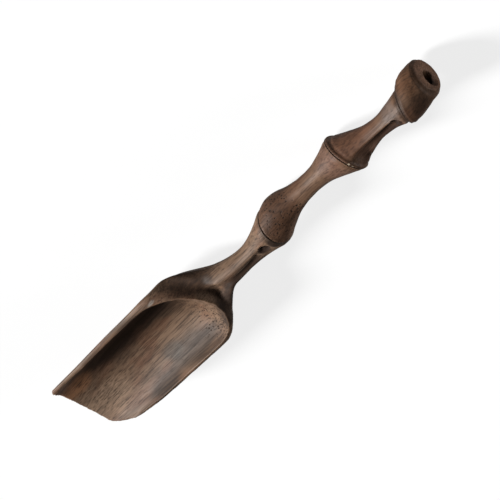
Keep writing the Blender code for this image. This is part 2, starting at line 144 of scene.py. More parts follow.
# %% A socket that does sums
class Value:
    """A number that changes over the surface, as an output socket."""

    def __init__(self, tree, socket):
        self.tree = tree
        self.socket = socket

    def maths(self, operation, other, clamp=False, reflected=False):
        inputs = {0: other, 1: self} if reflected else {0: self, 1: other}
        settings = {"operation": operation, "use_clamp": clamp}
        return self.tree.add("ShaderNodeMath", settings, inputs)

    def __add__(self, other):
        return self.maths("ADD", other)

    __radd__ = __add__

    def __sub__(self, other):
        return self.maths("SUBTRACT", other)

    def __rsub__(self, other):
        return self.maths("SUBTRACT", other, reflected=True)

    def __mul__(self, other):
        return self.maths("MULTIPLY", other)

    __rmul__ = __mul__

    def clamped(self):
        """Held between 0 and 1."""
        return self.maths("ADD", 0.0, clamp=True)

    def step(self, low, high):
        """0 below low and 1 above high, eased between."""
        settings = {"interpolation_type": "SMOOTHSTEP"}
        inputs = {"Value": self, "From Min": low, "From Max": high}
        return self.tree.add("ShaderNodeMapRange", settings, inputs)


class Finish:
    """A material and the nodes that are added to it."""

    def __init__(self, name):
        self.material = bpy.data.materials.new(name)
        self.material.use_nodes = True
        self.nodes = self.material.node_tree.nodes
        self.links = self.material.node_tree.links
        self.shader = self.nodes["Principled BSDF"]

    def add(self, kind, settings=None, inputs=None, output=0):
        """A node of this kind: its settings first, then the values or links of its sockets."""
        node = self.nodes.new(kind)
        for name, setting in (settings or {}).items():
            setattr(node, name, setting)
        for name, value in (inputs or {}).items():
            self.fill(node.inputs[name], value)
        return Value(self, node.outputs[output])

    def fill(self, socket, value):
        """Link a socket to a value that changes, or set it to one that doesn't."""
        if isinstance(value, Value):
            self.links.new(value.socket, socket)
        else:
            socket.default_value = value

    def mixed(self, share, first, second):
        """Blend two colours by a share from 0 to 1."""
        node = self.nodes.new("ShaderNodeMix")
        node.data_type = "RGBA"
        for index, value in ((0, share), (6, first), (7, second)):
            if isinstance(value, tuple):
                value = (*value, 1.0)
            self.fill(node.inputs[index], value)
        return Value(self, node.outputs[2])


print("socket sums ready: + - * and step")

# %% [markdown]
# ## Picking things up
# Blender's operators act on everything that is selected, and the frame arrives selected.
# So each step first puts everything down and takes up the one piece that it works on.

# %% Selecting one piece, and applying a modifier to it
def put_down_everything():
    if bpy.context.object and bpy.context.object.mode != "OBJECT":
        bpy.ops.object.mode_set(mode="OBJECT")
    bpy.ops.object.select_all(action="DESELECT")


def take_up(item):
    put_down_everything()
    item.select_set(True)
    bpy.context.view_layer.objects.active = item


def apply_modifier(item, kind, **settings):
    take_up(item)
    modifier = item.modifiers.new(kind.lower(), kind)
    for name, setting in settings.items():
        setattr(modifier, name, setting)
    bpy.ops.object.modifier_apply(modifier=modifier.name)


print("frame nodes:", sorted(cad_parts))

# %% [markdown]
# ## A blank for each piece
# A carver starts from a blank that is sawn to size. Here the blank is a copy of the CAD
# node, so that its size can't drift. The node is a shell of loose triangles: they are
# merged and paired into four-sided faces, its hard edges are creased, and a subdivision
# surface rounds the flat facets between them. The bowl's facets are fine enough already,
# so it is only merged. Modelling each piece again from a cylinder would also work, but it
# would have to be fitted to the frame by eye.

# %% Cut a blank from a node
HARD_EDGE = math.radians(32.0)
EDGE_STEP = 0.0003
MERGE_DISTANCE = 2e-6
MOST_BEND = math.radians(25.0)
MOST_SKEW = math.radians(60.0)


def hard_edge_points(item):
    """Points all along the creased edges, so that sanding can go easy on them later."""
    mesh = item.data
    crease = mesh.attributes["crease_edge"].data
    points = []
    for edge in mesh.edges:
        if crease[edge.index].value > 0.5:
            start, end = (mesh.vertices[v].co for v in edge.vertices)
            count = max(int((end - start).length / EDGE_STEP), 1)
            points += [start.lerp(end, i / count) for i in range(count + 1)]
    return points


def blank_from(node, name, levels):
    """A copy of a CAD node, subdivided this many times, and the points on its hard edges."""
    blank = bpy.data.objects.new(name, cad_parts[node].data.copy())
    blank.data.name = name
    bpy.context.scene.collection.objects.link(blank)
    take_up(blank)
    bpy.ops.object.mode_set(mode="EDIT")
    bpy.ops.mesh.select_all(action="SELECT")
    bpy.ops.mesh.remove_doubles(threshold=MERGE_DISTANCE)
    bpy.ops.mesh.normals_make_consistent(inside=False)
    if levels:
        bpy.ops.mesh.tris_convert_to_quads(face_threshold=MOST_BEND, shape_threshold=MOST_SKEW)
    bpy.ops.mesh.select_all(action="DESELECT")
    bpy.ops.mesh.edges_select_sharp(sharpness=HARD_EDGE)
    bpy.ops.transform.edge_crease(value=1.0)
    bpy.ops.object.mode_set(mode="OBJECT")
    edges = hard_edge_points(blank)
    if levels:
        apply_modifier(blank, "SUBSURF", levels=levels, render_levels=levels)
    print(name, "blank:", len(blank.data.polygons), "faces,", len(edges), "points on hard edges")
    return blank, edges


knob, knob_edges = blank_from("end_knob", "carved_knob", 2)
upper, upper_edges = blank_from("upper_joint", "carved_upper_joint", 2)
lower, lower_edges = blank_from("lower_joint", "carved_lower_joint", 2)
bowl, bowl_edges = blank_from("scoop_bowl", "carved_bowl", 0)

# %% [markdown]
# ## Bud scars
# At each node of real bamboo a bud sits in a small pit, and the carver copied that on the
# top of the neck and of the upper joint. A pit is a flattened sphere taken out with a
# Boolean, and the bud is a smaller one that is put back in. Sculpting would do too, but
# spheres can be placed to a tenth of a millimetre.

# %% Carve a bud scar
def flat_sphere(centre, size):
    """A sphere with this size from its middle to its skin along each axis."""
    put_down_everything()
    bpy.ops.mesh.primitive_uv_sphere_add(segments=32, ring_count=16, radius=1.0,
                                         location=centre, scale=size)
    bpy.ops.object.transform_apply(location=True, rotation=True, scale=True)
    return bpy.context.object


def shape_with(item, operation, centre, size):
    """Take a flattened sphere out of a piece, or add one to it."""
    tool = flat_sphere(centre, size)
    apply_modifier(item, "BOOLEAN", operation=operation, solver="EXACT", object=tool)
    bpy.data.objects.remove(tool)


def carve_bud(item, pit_centre, pit_size, bud_centre, bud_size):
    shape_with(item, "DIFFERENCE", pit_centre, pit_size)
    shape_with(item, "UNION", bud_centre, bud_size)
    print(item.name, "bud scar at", [round(1000.0 * c, 1) for c in pit_centre])


carve_bud(bowl, pit_centre=(-0.0158, -0.0004, 0.0143), pit_size=(0.0025, 0.0019, 0.0018),
          bud_centre=(-0.0160, -0.0003, 0.0125), bud_size=(0.0013, 0.0008, 0.0006))
carve_bud(upper, pit_centre=(-0.0785, 0.0002, 0.0134), pit_size=(0.0014, 0.0024, 0.0015),
          bud_centre=(-0.0788, 0.0004, 0.0120), bud_size=(0.0006, 0.0011, 0.0005))

# %% [markdown]
# ## The worn mouth of the hanging hole
# A cord or a peg wears the mouth of a hanging hole wider and round. A bevel would give
# it an even edge all round, but wear is softer than that, so one more flattened sphere
# is taken out of the knob's end face.

# %% Wear the mouth of the hanging hole wider
HOLE_MOUTH = (-0.0936, 0.0011, 0.0074)
MOUTH_SIZE = (0.0016, 0.0024, 0.0023)
shape_with(knob, "DIFFERENCE", HOLE_MOUTH, MOUTH_SIZE)
print("hanging hole's mouth worn to", round(2000.0 * MOUTH_SIZE[1], 1), "mm across")

# %% [markdown]
# ## Roughing out
# The voxel remesh turns each blank into a skin of even little squares, which can be
# pressed and sanded anywhere, whatever faces the blank had. Subdividing again would only
# cut long faces into long faces. Each vertex also notes how far it is from a hard edge,
# in a vertex group, so that sanding goes easy on the edges: all but those that hands have
# worn, which are the bowl's outer rim and the corners of its lip.

# %% Weights that rise and fade
def capped(value):
    """Held between 0 and 1."""
    return min(max(value, 0.0), 1.0)


def ease(value):
    value = capped(value)
    return value * value * (3.0 - 2.0 * value)


def rise(value, start, length):
    """0 up to the start, then easing to 1 over this length."""
    return ease((value - start) / length)


def fade(value, start, length):
    """1 up to the start, then easing to 0 over this length."""
    return 1.0 - rise(value, start, length)


def paint(item, name, weight_at):
    """A vertex group, as weight painting makes, with a weight for each vertex."""
    group = item.vertex_groups.new(name=name)
    steps = {}
    for vertex in item.data.vertices:
        weight = round(capped(weight_at(vertex)), 2)
        if weight > 0.0:
            steps.setdefault(weight, []).append(vertex.index)
    for weight, members in steps.items():
        group.add(members, weight, "REPLACE")
    return name


print("a rise over 4 mm, at each mm:", [round(rise(mm, 0.0, 4.0), 2) for mm in range(5)])

# %% Rough out a blank
from mathutils.kdtree import KDTree

EDGE_REACH = 0.0012
NECK_FADE = 0.02
OUTER_RIM_Y = 0.0168
OUTER_RIM_START = 0.022
RIM_SHARE = 0.4
CORNER_SHARE = 1.0
TIP_SHARE = 0.3


def near_to(points):
    """A tree that finds the nearest of these points quickly."""
    tree = KDTree(len(points))
    for index, point in enumerate(points):
        tree.insert(point, index)
    tree.balance()
    return tree


def worn_share(point):
    """How far hands have worn the bowl's edges round: its outer rim, and the lip's two corners."""
    outer_rim = RIM_SHARE if abs(point.y) > OUTER_RIM_Y and point.x > OUTER_RIM_START else 0.0
    lip = rise(point.x, 0.0780, 0.0040)
    right_corner = CORNER_SHARE * lip * rise(point.y, 0.0105, 0.0030)
    left_corner = TIP_SHARE * lip * rise(-point.y, 0.0125, 0.0030)
    return max(outer_rim, right_corner, left_corner)


def rough_out(item, edges, voxel, neck_end=-1.0, neck_share=1.0):
    """Remesh a blank. The neck is thin, so up to its end along X it will be sanded less."""
    apply_modifier(item, "REMESH", mode="VOXEL", voxel_size=voxel, use_smooth_shade=True)
    tree = near_to(edges)

    def open_wood(vertex):
        past_neck = capped((vertex.co.x - neck_end) / NECK_FADE)
        share = neck_share + (1.0 - neck_share) * past_neck
        weight = min(tree.find(vertex.co)[2] / EDGE_REACH, 1.0) * share
        return max(weight, worn_share(vertex.co))

    paint(item, "open_wood", open_wood)
    print(item.name, "roughed out:", len(item.data.polygons), "faces")


rough_out(knob, knob_edges, voxel=0.00020)
rough_out(upper, upper_edges, voxel=0.00022)
rough_out(lower, lower_edges, voxel=0.00022)
rough_out(bowl, bowl_edges, voxel=0.00030, neck_end=-0.002, neck_share=0.3)

# %% [markdown]
# ## Pressing the bowl into shape
# Real carving is never as plain as a CAD section. Behind the bowl the wood dips into a
# dish, so that the back of the rim stands up as a steep wall, and outside its thin inner
# edge the rim falls away on every side. The Displace modifier does this as a thumb does
# in clay: a vertex group says where to press, and the strength says how far. Sculpting
# would do the same by hand, but a weight that is worked out from a point's place gives
# the same shape every time. The first thing to work out is where the rim runs.

# %% The line of the rim
SHOULDER_X = 0.00416
BACK_RIM_X = 0.01636
FULL_BOWL_X = 0.02966
LIP_X = 0.09346
NECK_SHIFT = 0.0006
LIP_SHIFT = 0.0009
HALF_WIDTH = 0.0156
LIP_WIDENING = 0.0001
BACK_ROUND = 0.015
RIM_STEPS = 900


def along_bowl(x):
    """0 where the bowl has its full width and 1 at the lip."""
    return capped((x - FULL_BOWL_X) / (LIP_X - FULL_BOWL_X))


def middle_of_bowl(x):
    """The bowl's middle line bends a little: it starts left of the axis and ends there too."""
    from_shoulder = rise(x, SHOULDER_X, FULL_BOWL_X - SHOULDER_X)
    return NECK_SHIFT * (from_shoulder - 1.0) - LIP_SHIFT * along_bowl(x)


def inner_half_width(x):
    """Half the width between the inner edges of the rim."""
    corner = capped((x - BACK_RIM_X) / BACK_ROUND)
    return (HALF_WIDTH + LIP_WIDENING * along_bowl(x)) * math.sqrt(1.0 - (1.0 - corner) ** 2)


rim_points = []
for i in range(RIM_STEPS):
    x = BACK_RIM_X + (LIP_X - BACK_RIM_X) * (i / (RIM_STEPS - 1)) ** 2
    for side in (-1.0, 1.0):
        rim_points.append(Vector((x, middle_of_bowl(x) + side * inner_half_width(x), 0.0)))
rim_tree = near_to(rim_points)


def outside_rim(point):
    """How far a point lies outside the rim's inner edge, seen from above."""
    if point.x > BACK_RIM_X and abs(point.y - middle_of_bowl(point.x)) < inner_half_width(point.x):
        return 0.0
    return rim_tree.find(Vector((point.x, point.y, 0.0)))[2]


print("rim 40 mm from the back:", round(2000.0 * inner_half_width(BACK_RIM_X + 0.04), 1), "mm wide inside")

# %% Press the top of the rim
def press(item, name, weight_at, direction, distance):
    """Move a piece's surface by this distance, in full where the weight is 1."""
    apply_modifier(item, "DISPLACE", direction=direction, strength=distance, mid_level=0.0,
                   vertex_group=paint(item, name, weight_at))
    print(item.name, name, "pressed by", round(1000.0 * distance, 2), "mm")


def raised_rim(vertex):
    """The rim's top stands a little higher from its middle to the right."""
    x, y, z = vertex.co
    return rise(y, -0.0040, 0.0080) * rise(z, 0.0100, 0.0030) * rise(x, 0.024, 0.010)


def left_rim(vertex):
    """The left rim is planed lower, and most of all at the pointed tip of the lip."""
    x, y, z = vertex.co
    along = 0.65 * rise(x, 0.0260, 0.0180) + 0.35 * rise(x, 0.0640, 0.0190)
    return along * fade(y, -0.0140, 0.0030) * rise(z, 0.0112, 0.0028)


press(bowl, "raised_rim", raised_rim, "Z", 0.0004)
press(bowl, "left_rim", left_rim, "Z", -0.0013)
press(bowl, "left_rim_in", left_rim, "Y", 0.0004)

# %% Draw out the lip
def left_tip(vertex):
    """The lip runs out to a point where it meets the left rim."""
    return rise(vertex.co.x, 0.0770, 0.0065) * rise(-vertex.co.y, 0.0115, 0.0056)


def right_lobe(vertex):
    """The lip keeps its full round where it turns up into the right side."""
    x, y, z = vertex.co
    return rise(y, 0.0070, 0.0040) * rise(z, 0.0085, 0.0020) * rise(x, 0.0815, 0.0050)


press(bowl, "left_tip", left_tip, "X", 0.0011)
press(bowl, "right_lobe", right_lobe, "X", 0.0009)

# %% Press the left side
def left_cheek(vertex):
    """The left side swells out a little below the rim."""
    x, y, z = vertex.co
    low = rise(z, 0.0040, 0.0040) * fade(z, 0.0118, 0.0020)
    return low * rise(x, 0.0360, 0.0200) * rise(-y, 0.0125, 0.0025)


def left_shoulder(vertex):
    """The left shoulder turns into the bowl's side in a softer curve."""
    x, y, z = vertex.co
    along = rise(x, 0.0120, 0.0070) * fade(x, 0.0210, 0.0080)
    return along * rise(-y, 0.0110, 0.0040) * rise(z, 0.0040, 0.0040)


press(bowl, "left_cheek", left_cheek, "Y", -0.0002)
press(bowl, "left_shoulder", left_shoulder, "Y", 0.0007)

# %% Press the lip's right corner
def right_corner(vertex):
    """The right rim's top dips and draws in as it turns into the lip."""
    x, y, z = vertex.co
    return rise(x, 0.0640, 0.0130) * rise(z, 0.0118, 0.0026) * rise(y, 0.0110, 0.0030)


press(bowl, "right_corner", right_corner, "Z", -0.0008)
press(bowl, "right_corner_in", right_corner, "Y", -0.0002)

# %% Press the slope outside the rim and the dish behind it
def rim_slope(vertex):
    """The rim falls away outside its inner edge."""
    x, y, z = vertex.co
    fall = capped((outside_rim(vertex.co) - 0.0005) / 0.0021) ** 1.4
    return fall * rise(z, 0.0065, 0.0055) * rise(x, 0.010, 0.008)


def back_dish(vertex):
    """The dish behind the bowl, which a low ridge from the neck runs into."""
    x, y, z = vertex.co
    steep = rise(outside_rim(vertex.co), 0.0003, 0.0045)
    ridge = fade(abs(y + 0.0034), 0.0, 0.0022)
    start = 0.0022 + 0.0028 * ridge + 0.0050 * rise(y, 0.0005, 0.0040)
    to_side = 1.0 - 0.8 * rise(y, 0.002, 0.007)
    return steep * rise(x, start, 0.0080) * to_side * fade(x, 0.018, 0.008) * rise(z, 0.0060, 0.0045)


press(bowl, "rim_slope", rim_slope, "Z", -0.0012)
press(bowl, "back_dish", back_dish, "Z", -0.0026)

# %% [markdown]
# ## Pressing the handle into shape
# The same press sharpens what makes the handle look like bamboo: a channel with a crisp
# left edge along the neck and the upper joint, a bead at the end of the upper joint, and
# a step down on the lip's side of each ring, which turns the joint into a dark groove.
# The flat end faces are brought up to their neighbours, so that no slit shows there.

# %% Channels along the neck and the upper joint
def between(points, x):
    """The Y of a line of (x, y) points at a place along X."""
    for (x0, y0), (x1, y1) in zip(points, points[1:]):
        if x <= x1:
            return y0 + (y1 - y0) * capped((x - x0) / (x1 - x0))
    return points[-1][1]


NECK_RIDGE = [(-0.0150, -0.0022), (-0.0098, -0.0013), (-0.0047, -0.0004),
              (0.0005, -0.0007), (0.0042, -0.0014), (0.0080, -0.0030)]
UPPER_RIDGE = [(-0.0793, -0.0026), (-0.0766, -0.0018), (-0.0720, -0.0014),
               (-0.0676, -0.0015), (-0.0607, -0.0022)]
CHANNEL_DEPTH = 0.0008


def channel_at(co, ridge, width, low, start, end):
    """Deepest just right of the ridge, and running out towards the right and at both ends."""
    right = co.y - between(ridge, co.x)
    across = rise(right, 0.0, 0.0009) * fade(right, 0.45 * width, 0.55 * width)
    return across * rise(co.z, low, 0.0020) * rise(co.x, start, 0.0025) * fade(co.x, end, 0.0040)


def neck_channel(vertex):
    return channel_at(vertex.co, NECK_RIDGE, width=0.0040, low=0.0095, start=-0.0135, end=0.0060)


def upper_channel(vertex):
    """This one widens towards the second ring."""
    wide = 0.0040 + 0.0035 * rise(vertex.co.x, -0.0680, 0.0070)
    return channel_at(vertex.co, UPPER_RIDGE, width=wide, low=0.0085, start=-0.0800, end=-0.0625)


press(bowl, "neck_channel", neck_channel, "Z", -CHANNEL_DEPTH)
press(upper, "upper_channel", upper_channel, "Z", -CHANNEL_DEPTH)

# %% Bead and steps at the rings
FIRST_RING = (Vector((-0.022645, -0.0006, 0.0082)), Vector((0.9715, -0.0068, -0.2368)))
SECOND_RING = (Vector((-0.057245, -0.0007, 0.0070)), Vector((0.9698, 0.0508, 0.2385)))
KNOB_RING = (Vector((-0.082845, -0.0007, 0.0092)), Vector((0.9134, -0.4048, -0.0436)))
BEAD_DEPTH = 0.0002
STEP_DEPTH = 0.0004
FACE_LIFT = 0.00026


def from_ring(co, ring):
    """How far a point is past a ring's plane, towards the lip."""
    centre, normal = ring
    return (co - centre).dot(normal)


def is_end_face(vertex, ring):
    """1 on the flat face that meets the neighbour, and 0 on the outside of the piece."""
    return rise(abs(vertex.normal.dot(ring[1])), 0.5, 0.3)


def step_at(ring):
    """Just past a ring the outside of the piece steps down below its neighbour."""
    def weight_at(vertex):
        past = from_ring(vertex.co, ring)
        if past <= 0.0:
            return 0.0
        return fade(past, 0.0004, 0.0012) * (1.0 - is_end_face(vertex, ring))
    return weight_at


def end_face_at(ring):
    """The end face alone, which is brought up to its neighbour."""
    def weight_at(vertex):
        near = fade(abs(from_ring(vertex.co, ring)), 0.0006, 0.0004)
        return near * is_end_face(vertex, ring)
    return weight_at


def bead_groove(vertex):
    """A shallow groove that leaves a round bead at the end of the upper joint."""
    before = -from_ring(vertex.co, SECOND_RING)
    return fade(abs(before - 0.0016), 0.0, 0.0007)


press(upper, "bead_groove", bead_groove, "NORMAL", -BEAD_DEPTH)
for piece, ring in ((bowl, FIRST_RING), (lower, SECOND_RING), (upper, KNOB_RING)):
    press(piece, "step", step_at(ring), "NORMAL", -STEP_DEPTH)
    press(piece, "end_face", end_face_at(ring), "NORMAL", FACE_LIFT)

# %% The knob's end face
def knob_face_edge(vertex):
    """The right side of the end face, which stands out a little further than the turned knob."""
    return rise(-vertex.co.x, 0.0890, 0.0025) * rise(vertex.co.y, 0.0005, 0.0030)


def knob_face_foot(vertex):
    """The bottom of the end face, which does the same."""
    return rise(-vertex.co.x, 0.0890, 0.0025) * rise(-vertex.co.z, -0.0045, 0.0020)


press(knob, "knob_face_edge", knob_face_edge, "Y", 0.0006)
press(knob, "knob_face_foot", knob_face_foot, "Z", -0.0004)

# %% [markdown]
# ## The hand's unevenness
# Nothing cut by hand is quite even. Bump in the material alone would leave the outline
# too clean, so a Displace modifier with a soft cloud texture takes a little wood away
# here and there, and only inwards, so that the piece keeps its size.

# %% Make the surfaces uneven
def make_uneven(item, size, depth):
    """Hollows of about this size across, and up to this deep, away from the hard edges."""
    cloud = bpy.data.textures.new(item.name + "_cuts", "CLOUDS")
    cloud.noise_scale = size
    cloud.noise_depth = 1
    apply_modifier(item, "DISPLACE", texture=cloud, texture_coords="LOCAL", direction="NORMAL",
                   mid_level=1.0, strength=depth, vertex_group="open_wood")
    bpy.data.textures.remove(cloud)
    print(item.name, "made uneven, up to", round(1000.0 * depth, 2), "mm deep")


make_uneven(knob, size=0.0040, depth=0.00035)
make_uneven(upper, size=0.0050, depth=0.00040)
make_uneven(lower, size=0.0060, depth=0.00040)
make_uneven(bowl, size=0.0200, depth=0.00015)

# %% [markdown]
# ## Sanding
# Wood that has been carved, sanded and oiled has no perfectly sharp edge. Bevels would
# round only the edges that they are given. The Smooth modifier rubs down the whole
# piece, as sandpaper does: a little everywhere, and then more in the open wood.

# %% Sand the four pieces
RUB = 0.5
PASSES_ALL_OVER = 3


def sand(item, passes):
    """Smooth all of a piece, then its open wood by this many passes more."""
    apply_modifier(item, "SMOOTH", factor=RUB, iterations=PASSES_ALL_OVER)
    apply_modifier(item, "SMOOTH", factor=RUB, iterations=passes, vertex_group="open_wood")
    item.vertex_groups.clear()
    low, high = (Vector(item.bound_box[i]) for i in (0, 6))
    print(item.name, "sanded, size in mm:", [round(1000.0 * c, 1) for c in high - low])


sand(knob, passes=10)
sand(upper, passes=12)
sand(lower, passes=12)
sand(bowl, passes=60)

# %% [markdown]
# ## Ridges and grooves
# Handling polishes ridges paler, and oil and dirt darken the grooves. Both are painted
# stronger here: the pale ridges are also painted highlight where edges catch the light,
# and the dark grooves are also painted shade. The Geometry node's Pointiness tells them
# apart too, but it sees only a point's nearest neighbours. A smoothed copy of a piece lies
# below its ridges and above its grooves, so the height over that copy is stored as an
# attribute, which the wood's colour reads later. A second attribute notes the dark joint
# lines: dirt in them, and painted shade, which at the knob reaches over its shaded side.

# %% Note how far each point stands proud
RELIEF_RANGE = 0.0005
RELIEF_PASSES = 24


def note_relief(item):
    """0 deep in a groove, 0.5 on plain wood and 1 on a sharp ridge."""
    worn_down = item.copy()
    worn_down.data = item.data.copy()
    bpy.context.scene.collection.objects.link(worn_down)
    apply_modifier(worn_down, "SMOOTH", factor=RUB, iterations=RELIEF_PASSES)
    relief = item.data.attributes.new("relief", "FLOAT", "POINT")
    for vertex, low in zip(item.data.vertices, worn_down.data.vertices):
        height = (vertex.co - low.co).dot(vertex.normal)
        relief.data[vertex.index].value = capped(0.5 + height / RELIEF_RANGE)
    bpy.data.objects.remove(worn_down)
    levels = sorted(value.value for value in relief.data)
    tail = len(levels) // 50
    print(item.name, "relief from", round(levels[tail], 2), "to", round(levels[-tail], 2))


for piece in (knob, upper, lower, bowl):
    note_relief(piece)

# %% Note the dirt and painted shade in the joint lines
def note_joint_dirt_and_shade(item, *lines):
    """1 in the joint lines, where dirt and old oil gather and painted shade is laid, and 0 at each line's
    reach.
    """
    joint_dirt_and_shade = item.data.attributes.new("joint_dirt_and_shade", "FLOAT", "POINT")
    for vertex in item.data.vertices:
        shares = [fade(abs(from_ring(vertex.co, ring)), 0.0, reach) for ring, reach in lines]
        joint_dirt_and_shade.data[vertex.index].value = max(shares)
    print(item.name, "dirt reaches", [round(1000.0 * reach, 1) for ring, reach in lines], "mm")


note_joint_dirt_and_shade(knob, (KNOB_RING, 0.0022))
note_joint_dirt_and_shade(upper, (KNOB_RING, 0.0018), (SECOND_RING, 0.0006))
note_joint_dirt_and_shade(lower, (SECOND_RING, 0.0006), (FIRST_RING, 0.0006))
note_joint_dirt_and_shade(bowl, (FIRST_RING, 0.0010))

# %% [markdown]
# ## Thinning the bowl's mesh
# The bowl is the largest piece and has more faces than its shape needs, which makes its
# files heavy. A coarser remesh would lose the crisp rim. The Decimate modifier joins
# faces where the wood is flattest, and it comes last, so that the presses, the sanding
# and the notes above all have an even mesh to work on.

# %% Thin the bowl
THINNED_SHARE = 0.78

apply_modifier(bowl, "DECIMATE", ratio=THINNED_SHARE)
print("bowl thinned to", len(bowl.data.polygons), "triangles")

# %% [markdown]
# ## The wood
# Dark, open-pored wood under oil, satin rather than glossy. One solid pattern runs
# through the whole scoop, as in the plank that it came from: it is read from Object
# coordinates, stretched along the handle, so a cut along the grain shows dashes and
# streaks, and a cut across it shows dots. An image would need unwrapping and would
# smear there. Real wood also changes its tone from place to place, so soft-edged stains
# can be set anywhere in it, and the same soft patches also lay painted shade and painted
# light on the wood.

# %% Patterns in the wood
EDGE_WANDER = 0.9


def stretched(finish, along, across, shift=(0.0, 0.0, 0.0)):
    """Object coordinates in cells this long along the grain and this wide across it."""
    place = finish.add("ShaderNodeTexCoord", output="Object")
    sized = {"Vector": place, "Location": shift, "Scale": (1.0 / along, 1.0 / across, 1.0 / across)}
    return finish.add("ShaderNodeMapping", {"vector_type": "POINT"}, sized)


def noise(finish, vector, detail, roughness):
    inputs = {"Vector": vector, "Scale": 1.0, "Detail": detail, "Roughness": roughness}
    return finish.add("ShaderNodeTexNoise", None, inputs, "Fac")


def pores(finish, vector, radius):
    """1 inside a pore and 0 outside, one pore to a cell."""
    inputs = {"Vector": vector, "Scale": 1.0, "Randomness": 1.0}
    distance = finish.add("ShaderNodeTexVoronoi", {"feature": "F1"}, inputs, "Distance")
    return 1.0 - distance.step(radius * 0.5, radius)


def soft_patch(finish, centre, size, patches):
    """1 in the middle of a patch of the wood, 0 outside it, with an uneven edge."""
    place = finish.add("ShaderNodeTexCoord", output="Object")
    sized = finish.add("ShaderNodeMapping", {"vector_type": "TEXTURE"},
                       {"Vector": place, "Location": centre, "Scale": size})
    length = finish.add("ShaderNodeVectorMath", {"operation": "LENGTH"}, {0: sized}, "Value")
    return 1.0 - (length + (patches - 0.5) * EDGE_WANDER).step(0.45, 1.05)


print("patterns ready: noise, pores and stains")

# %% [markdown]
# ## One recipe for four woods
# The four pieces are the same wood, but their tones differ a little. A separate material
# for each could be wired by hand. Here one recipe makes all four, so a change to the
# grain reaches every piece. The colour is built up in this order: the tone of the wood,
# darker streaks and redder patches, the stains with the patches of painted shade and
# light, fine dark lines, open pores, and at last the ridges, painted pale for polish and
# highlight, the grooves, painted dark for dirt and shade, and the joints, dark with dirt
# and painted shade, that were noted on the meshes.

# %% Oiled wood
LINE_BROWN = (0.028, 0.017, 0.011)
PORE_BLACK = (0.020, 0.012, 0.008)
GROOVE_BLACK = (0.018, 0.011, 0.008)
JOINT_BLACK = (0.016, 0.010, 0.007)
REDDER = (1.45, 1.00, 0.85)
RIDGE_GAIN = 1.7
PATCH_TONE_LOW = 0.65
PATCH_TONE_HIGH = 1.3
PORE_DEPTH = 0.00014
SHEEN_LEVEL = 0.15


def times(colour, gain):
    return tuple(gain * c for c in colour)


def oiled_wood(name, dark, middle, light, roughness, lines, stains_and_painted_light, dot_places):
    """Lines says how strongly the grain and pores show, from 0 to 1."""
    finish = Finish(name)
    fine = noise(finish, stretched(finish, 0.0150, 0.00045), 3.0, 0.6)
    streak = noise(finish, stretched(finish, 0.0260, 0.0014, shift=(0.3, 0.6, 0.2)), 2.0, 0.55)
    broad = noise(finish, stretched(finish, 0.0450, 0.0050), 2.0, 0.5)
    patches = noise(finish, stretched(finish, 0.0160, 0.0070, shift=(3.1, 1.7, 0.4)), 2.0, 0.5)
    long_pores = pores(finish, stretched(finish, 0.0120, 0.00044), 0.23)
    short_pores = pores(finish, stretched(finish, 0.0045, 0.00042, shift=(0.5, 0.2, 0.7)), 0.22)
    dots = pores(finish, stretched(finish, 0.0015, 0.0009, shift=(0.1, 0.8, 0.3)), 0.33)
    relief = finish.add("ShaderNodeAttribute", {"attribute_name": "relief"}, output="Fac")
    joint_dirt_and_shade = finish.add("ShaderNodeAttribute", {"attribute_name": "joint_dirt_and_shade"}, output="Fac")
    tone = (fine * 0.50 + streak * 0.28 + broad * 0.22).step(0.38, 0.63)
    base = finish.mixed(tone, middle, light)
    base = finish.mixed((1.0 - streak.step(0.34, 0.50)) * 0.45 * lines, base, dark)
    reddish = tuple(c * gain for c, gain in zip(middle, REDDER))
    base = finish.mixed(patches.step(0.50, 0.64) * 0.3, base, reddish)
    # The patches are stains, painted shade and painted light, each marked in its list.
    for centre, size, colour, share in stains_and_painted_light:
        patch_colour = finish.mixed(tone, times(colour, PATCH_TONE_LOW), times(colour, PATCH_TONE_HIGH))
        base = finish.mixed(soft_patch(finish, centre, size, patches) * share, base, patch_colour)
    base = finish.mixed((1.0 - fine.step(0.36, 0.47)) * 0.55 * lines, base, LINE_BROWN)
    pore = (long_pores * 0.6 + short_pores * 0.4).clamped() * lines * 0.5
    for centre, size in dot_places:
        pore = (pore + dots * soft_patch(finish, centre, size, patches)).clamped()
    base = finish.mixed(pore, base, PORE_BLACK)
    # Pale ridges: polish from handling, and painted highlight.
    base = finish.mixed(relief.step(0.66, 0.94) * 0.5, base, times(light, RIDGE_GAIN))
    # Dark grooves: oil and dirt, and painted shade.
    base = finish.mixed((1.0 - relief.step(0.08, 0.40)) * 0.7, base, GROOVE_BLACK)
    # Dark joint lines: dirt and old oil, and painted shade.
    base = finish.mixed(joint_dirt_and_shade * 0.85, base, JOINT_BLACK)
    finish.fill(finish.shader.inputs["Base Color"], base)
    finish.fill(finish.shader.inputs["Roughness"], roughness + pore * 0.2 - tone * 0.08)
    height = fine * 0.5 - pore
    bump = {"Height": height, "Strength": 0.5, "Distance": PORE_DEPTH}
    finish.fill(finish.shader.inputs["Normal"], finish.add("ShaderNodeBump", None, bump, "Normal"))
    finish.fill(finish.shader.inputs["Specular IOR Level"], SHEEN_LEVEL)
    print(name, "has", len(stains_and_painted_light), "stains and", len(finish.nodes), "nodes")
    return finish.material
